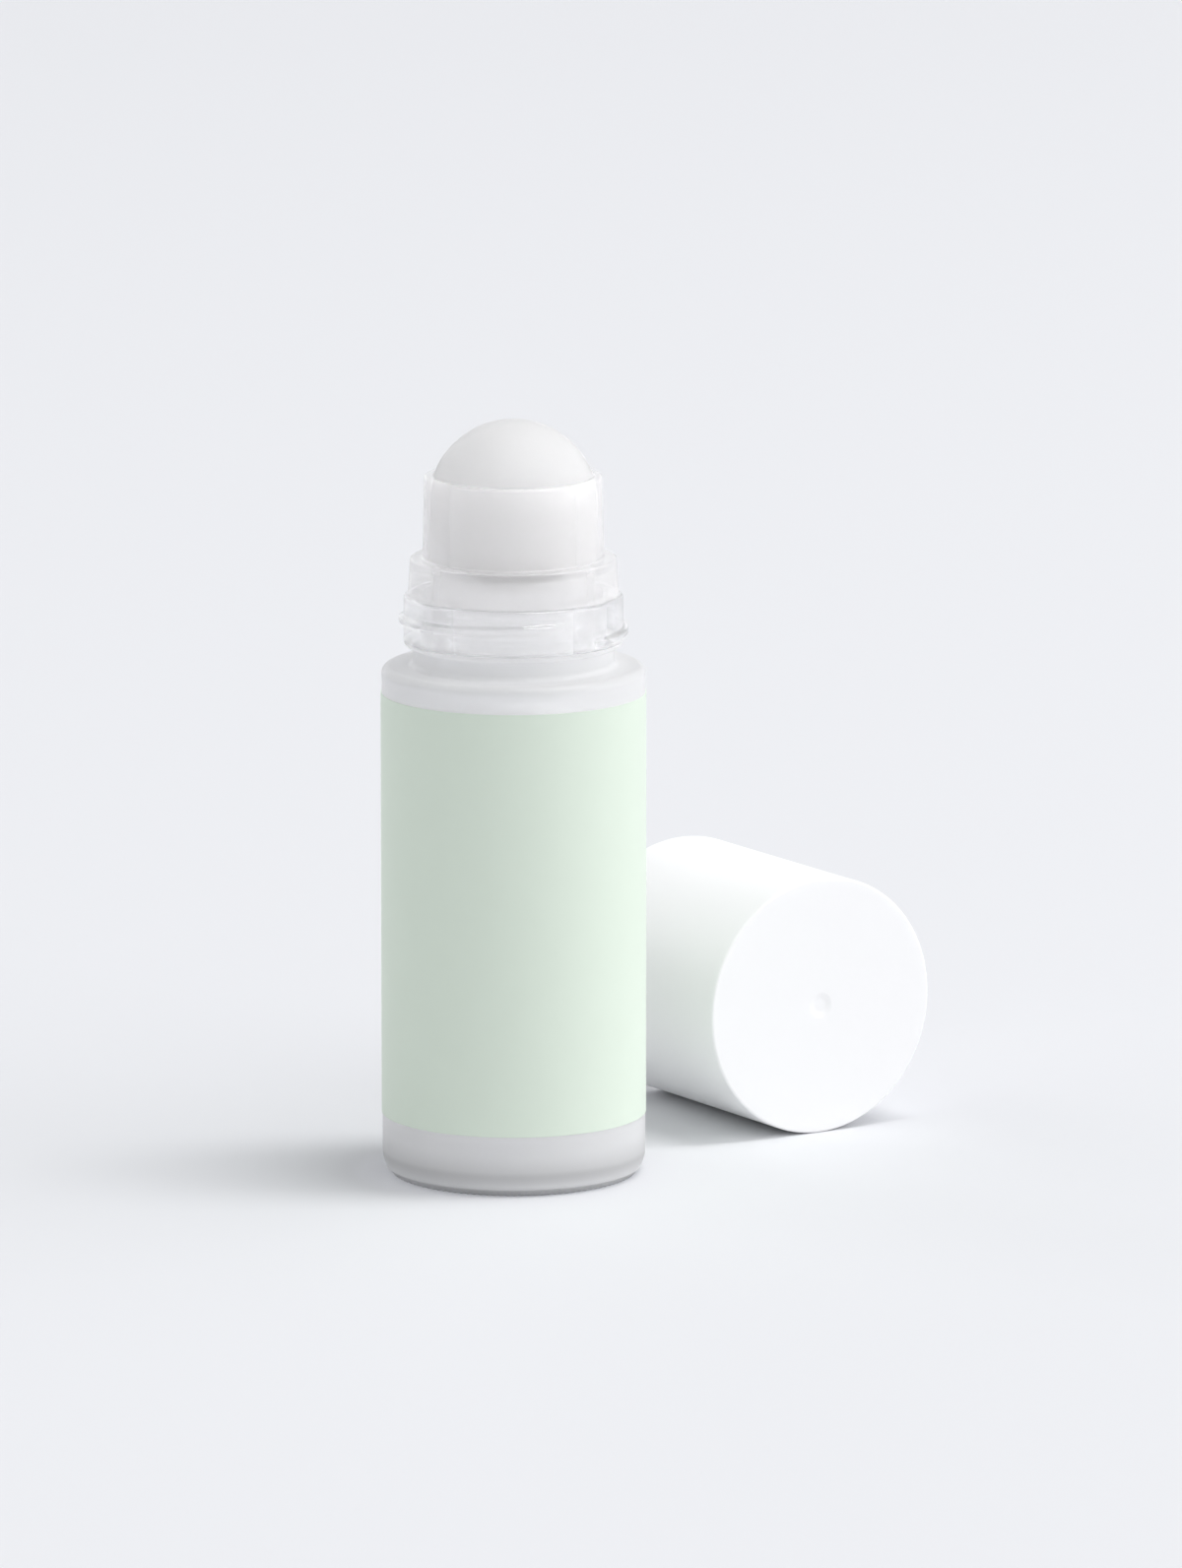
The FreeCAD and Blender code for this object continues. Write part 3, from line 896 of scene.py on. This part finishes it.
@dataclass
class WrapLabel:
    """Film label wrapped round the straight wall, with rounded corners where its ends stand apart at the back.

    Attributes:
        columns: Points along the film between its corners.
        corner_columns: Points along each rounded corner.
        row_share: Distance between two rows up the film, as a share of half its height.
        gap: How far its ends stand apart.
        glue_gap: Thickness of the glue between film and glass.
    """

    columns: int = 512
    corner_columns: int = 12
    row_share: float = 0.2
    gap: float = 2.0 * MM
    corner_round: float = 2.0 * MM
    glue_gap: float = 0.012 * MM

    def __post_init__(self) -> None:
        """Take the film's sizes from the solids."""
        low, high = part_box("wrap_label")
        self.outer_radius = high.x
        self.inner_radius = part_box("glass_bottle")[1].x + self.glue_gap
        self.foot, self.top = low.z, high.z

    def build(self) -> bpy.types.Object:
        """Make the film: a thin closed section carried round the bottle, its height drawn in at the rounded corners.

        At a distance d from an end, less than the corner's radius q, each edge draws in by q - sqrt(q^2 - (q - d)^2).
        """
        span = 2 * np.pi * self.outer_radius - self.gap
        bend = (1 - np.cos(np.linspace(0, np.pi / 2, self.corner_columns))) * self.corner_round
        middle = np.linspace(self.corner_round, span - self.corner_round, self.columns)[1:-1]
        along = np.concatenate((bend, middle, span - bend[::-1]))
        to_end = np.minimum(along, span - along)
        short = np.clip(self.corner_round - to_end, 0, None)
        inset = self.corner_round - np.sqrt(self.corner_round ** 2 - short ** 2)
        angle = np.pi / 2 + (self.gap / 2 + along) / self.outer_radius
        half = (self.top - self.foot) / 2 - inset
        section = outline([
            Corner(self.inner_radius, -1.0),
            Corner(self.outer_radius, -1.0),
            Corner(self.outer_radius, 1.0),
            Corner(self.inner_radius, 1.0),
        ], self.row_share, loop=True)
        radius = section[:, :1]
        height = (self.top + self.foot) / 2 + section[:, 1:] * half
        grid = np.stack(np.broadcast_arrays(radius * np.cos(angle), radius * np.sin(angle), height), axis=-1)
        quads, _ = lathe_faces(grid.shape[0], grid.shape[1], Ends.LOOP)
        columns = grid.shape[1]
        open_quads = quads.reshape(-1, columns, 4)[:, :-1].reshape(-1, 4)
        first_end = (np.arange(grid.shape[0]) * columns).tolist()
        last_end = (np.arange(grid.shape[0])[::-1] * columns + columns - 1).tolist()
        piece = add_piece("label_film", grid.reshape(-1, 3), open_quads.tolist() + [first_end, last_end])
        place(piece, "bottle", "wrap_label", "label_film", LABEL_FILM.material())
        return piece


@dataclass
class ScrewCap:
    """White cap on its side: crown with a gate mark, threaded skirt and a ring that presses the ball.

    Its half-section is drawn about +Z from the crown's face to the mouth, and then laid down.

    Attributes:
        bore_radius: Inner radius at the crown, a little less for draft.
        press_ring_end: Distance from the crown's face to the ring's end.
        gate_radius: Radius of the gate mark, a shallow dish in the crown.
        gate_bevel: Width of its sloping edge.
        thread_zone: Length of the skirt, from the mouth, that holds the thread.
        thread_inset: Distance from the mouth to the thread's start.
        mouth_depth: Distance from the mouth to the first row of the thread's zone.
    """

    columns: int = 320
    mouth_radius: float = 17.0 * MM
    bore_radius: float = 16.75 * MM
    crown_thickness: float = 2.0 * MM
    press_ring_inner: float = 4.47 * MM
    press_ring_outer: float = 5.77 * MM
    press_ring_end: float = 3.73 * MM
    gate_radius: float = 1.9 * MM
    gate_depth: float = 0.22 * MM
    gate_bevel: float = 0.95 * MM
    row_spacing: float = 3 * MM
    thread_row_spacing: float = 0.15 * MM
    thread_zone: float = 9.0 * MM
    thread_inset: float = 6.2 * MM
    mouth_depth: float = 0.6 * MM
    pole_radius: float = 0.3 * MM
    gate_round: float = 0.4 * MM
    crown_round: float = 0.38 * MM
    mouth_outer_round: float = 0.4 * MM
    mouth_inner_round: float = 0.3 * MM
    inner_crown_round: float = 1.2 * MM
    press_ring_round: float = 0.3 * MM

    def __post_init__(self) -> None:
        """Take the cap's radius, length and place from its solid."""
        low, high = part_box("screw_cap")
        self.radius = (high.z - low.z) / 2
        self.length = high.y - low.y
        self.axis_x, self.axis_z = (low.x + high.x) / 2, (low.z + high.z) / 2
        self.crown_y = low.y
        self.thread = Thread(
            start_turn=0.0,
            start_height=self.length - self.thread_inset,
            turns=1.3,
            pitch=3.175 * MM,
            height=-0.95 * MM,
            base=1.7 * MM,
            crest=0.5 * MM,
            fade=math.radians(18),
        )

    def rows(self) -> np.ndarray:
        """Rows from the gate mark over the crown, along the skirt, into the mouth and back to the crown's inside."""
        mouth, zone = self.length - self.mouth_depth, self.length - self.thread_zone
        share = (zone - self.crown_thickness) / (self.length - self.crown_thickness)
        zone_radius = self.bore_radius + (self.mouth_radius - self.bore_radius) * share
        outside = outline([
            Corner(self.pole_radius, self.gate_depth),
            Corner(self.gate_radius - self.gate_bevel, self.gate_depth, self.gate_round),
            Corner(self.gate_radius, 0.0, self.gate_round),
            Corner(self.radius, 0.0, self.crown_round),
            Corner(self.radius, self.length, self.mouth_outer_round),
            Corner(self.mouth_radius, self.length, self.mouth_inner_round),
            Corner(self.mouth_radius, mouth),
        ], self.row_spacing)
        threaded = side_rows(
            np.array([self.mouth_radius, mouth]),
            np.array([zone_radius, zone]),
            self.thread_row_spacing,
        )
        inside = outline([
            Corner(zone_radius, zone),
            Corner(self.bore_radius, self.crown_thickness, self.inner_crown_round),
            Corner(self.press_ring_outer, self.crown_thickness, self.press_ring_round),
            Corner(self.press_ring_outer, self.press_ring_end, self.press_ring_round),
            Corner(self.press_ring_inner, self.press_ring_end, self.press_ring_round),
            Corner(self.press_ring_inner, self.crown_thickness, self.press_ring_round),
            Corner(self.pole_radius, self.crown_thickness),
        ], self.row_spacing)
        return np.concatenate((outside, threaded[1:], inside[1:]))

    def relief(self, angle: np.ndarray, radius: np.ndarray, height: np.ndarray) -> tuple[np.ndarray, np.ndarray]:
        """Raise the thread inwards from the skirt's bore.

        Args:
            angle: Angles round the axis.
            radius: Radii of the grid.
            height: Distances from the crown's face.

        Returns:
            The new radii and the same heights.
        """
        on_bore = (radius < self.mouth_radius + ON_WALL) & (height > self.length - self.thread_zone)
        return radius + np.where(on_bore, self.thread.relief(angle, height), 0), height

    def lay_down(self, points: np.ndarray) -> np.ndarray:
        """Turn points about the cap's axis Z into the row frame, where it lies along +Y: (x, z, -y), then moved."""
        x, y, z = np.moveaxis(points, -1, 0)
        return np.stack((self.axis_x + x, self.crown_y + z, self.axis_z - y), axis=-1)

    def build(self) -> bpy.types.Object:
        """Make the cap's piece and let it stand for its solid."""
        grid = self.lay_down(lathe(self.rows(), self.columns, self.relief))
        poles = self.lay_down(np.array([(0, 0, self.gate_depth), (0, 0, self.crown_thickness)]))
        piece = add_lathed("cap_shell", grid, Ends.POLES, poles)
        place(piece, "cap", "screw_cap", "white_cap_pp", CAP_PP.material())
        return piece


@dataclass(frozen=True)
class Softbox:
    """A soft light behind a rectangular cloth, aimed at the middle of the object.

    Attributes:
        name: The lamp's name.
        turn: Angle round the object, in degrees from the camera's right, and below zero towards the camera.
        rise: Angle above the floor, in degrees.
        distance: How far away it hangs.
        width: Its width.
        height: Its height.
        level: How bright a white card that faces it would look, where 1 is white.
        colour: sRGB hex colour.
    """

    name: str
    turn: float
    rise: float
    distance: float
    width: float
    height: float
    level: float
    colour: str = "#FFFFFF"

    def hang(self, aim: Vector) -> None:
        """Add the lamp, whose power for that level is level times pi squared times distance squared.

        Args:
            aim: The point that it faces.
        """
        turn, rise = math.radians(self.turn) - VIEW_TURN, math.radians(self.rise)
        away = Vector((math.cos(turn) * math.cos(rise), math.sin(turn) * math.cos(rise), math.sin(rise)))
        lamp = bpy.data.lights.new(self.name, "AREA")
        lamp.shape = "RECTANGLE"
        lamp.size, lamp.size_y = self.width, self.height
        lamp.energy = self.level * math.pi ** 2 * self.distance ** 2
        lamp.color = linear(self.colour)[:3]
        hung = bpy.data.objects.new(self.name, lamp)
        hung.location = aim + away * self.distance
        hung.rotation_euler = away.to_track_quat("Z", "Y").to_euler()
        bpy.context.scene.collection.objects.link(hung)


@dataclass
class Studio:
    """Pale floor, soft light and the camera at the photo's angle.

    Attributes:
        ambient: Strength of the even light from all round.
        backdrop_colour: sRGB hex colour that the camera and reflections see past the floor.
        lens: Focal length of the camera, in its own millimetres.
        camera_way: The direction that it looks in.
    """

    floor_radius: float = 9.0
    floor_rings: int = 24
    floor_columns: int = 96
    ambient: float = 0.29
    ambient_colour: str = "#F8F9FD"
    backdrop_colour: str = "#EEEFF3"
    lens: float = 318.6
    camera_place: tuple[float, float, float] = (-1.0475, -1.6593, 0.4364)
    camera_way: tuple[float, float, float] = (0.5288, 0.8272, -0.1899)
    lamps: tuple[Softbox, ...] = (
        Softbox("high_right_strip", turn=0, rise=73, distance=5.0, width=1.1, height=2.6, level=0.41),
        Softbox("right_window", turn=0, rise=50, distance=5.0, width=13.3, height=5.0, level=0.47),
        Softbox("right_front_panel", turn=-48, rise=32, distance=5.0, width=11.5, height=5.6, level=0.385),
        Softbox("low_right_panel", turn=0, rise=22, distance=6.0, width=9.0, height=4.0, level=0.36),
        Softbox("left_fill", turn=180, rise=35, distance=6.0, width=8.0, height=4.0, level=0.25),
        Softbox("back_left_fill", turn=128, rise=18, distance=6.0, width=7.0, height=3.6, level=0.14),
    )

    def build_floor(self) -> None:
        """Lay a round floor, its rings closer together near the object, as the square of their share."""
        share = np.linspace(0, 1, self.floor_rings + 1)[1:]
        rows = np.stack((self.floor_radius * share ** 2, np.zeros(self.floor_rings)), axis=-1)[::-1]
        grid = lathe(rows, self.floor_columns)
        quads, fans = lathe_faces(self.floor_rings, self.floor_columns, Ends.POLES)
        points = np.concatenate((grid.reshape(-1, 3), np.zeros((1, 3))))
        # The rings run inwards and the outer edge stays open, so only the fan round the middle is kept
        middle = np.where(fans == len(points), len(points) - 1, fans)[self.floor_columns:]
        floor = add_piece("studio_floor", points, quads.tolist() + middle.tolist())
        floor.data.materials.append(FLOOR_PAINT.material())

    def light(self) -> None:
        """Set the world's even light and hang the lamps.

        The camera, reflections and glass see the pale backdrop, and everything else sees the ambient light.
        """
        world = bpy.data.worlds.new("studio_world")
        bpy.context.scene.world = world
        world.use_nodes = True
        tree = world.node_tree
        tree.nodes.clear()
        path = add_node(tree, "ShaderNodeLightPath")
        seen = path.outputs["Is Camera Ray"]
        for name in ("Is Glossy Ray", "Is Transmission Ray"):
            either = add_node(tree, "ShaderNodeMath", {"operation": "MAXIMUM"})
            tree.links.new(seen, either.inputs[0])
            tree.links.new(path.outputs[name], either.inputs[1])
            seen = either.outputs[0]
        even = add_node(tree, "ShaderNodeBackground", Color=linear(self.ambient_colour), Strength=self.ambient)
        pale = add_node(tree, "ShaderNodeBackground", Color=linear(self.backdrop_colour), Strength=1.0)
        both = add_node(tree, "ShaderNodeMixShader")
        tree.links.new(seen, both.inputs[0])
        tree.links.new(even.outputs[0], both.inputs[1])
        tree.links.new(pale.outputs[0], both.inputs[2])
        add_node(tree, "ShaderNodeOutputWorld", Surface=both.outputs[0])
        aim = (cad_box[0] + cad_box[1]) / 2
        for lamp in self.lamps:
            lamp.hang(aim)

    def set_camera(self) -> None:
        """Place the camera and make it the scene's own."""
        data = bpy.data.cameras.new("photo_camera")
        data.lens = self.lens
        camera = bpy.data.objects.new("photo_camera", data)
        camera.location = self.camera_place
        camera.rotation_euler = Vector(self.camera_way).to_track_quat("-Z", "Y").to_euler()
        bpy.context.scene.collection.objects.link(camera)
        bpy.context.scene.camera = camera

    def build(self) -> None:
        """Make the floor, the light and the camera."""
        bpy.context.scene.view_settings.view_transform = "Standard"
        self.build_floor()
        self.light()
        self.set_camera()


def main() -> None:
    """Build each piece in order, then the studio."""
    logging.basicConfig(level=logging.INFO, format="%(name)s: %(message)s")
    for piece in (GlassBottle(), BallHousing(), RollerBall(), WrapLabel(), ScrewCap()):
        piece.build()
    Studio().build()


if __name__ == "__main__":
    main()
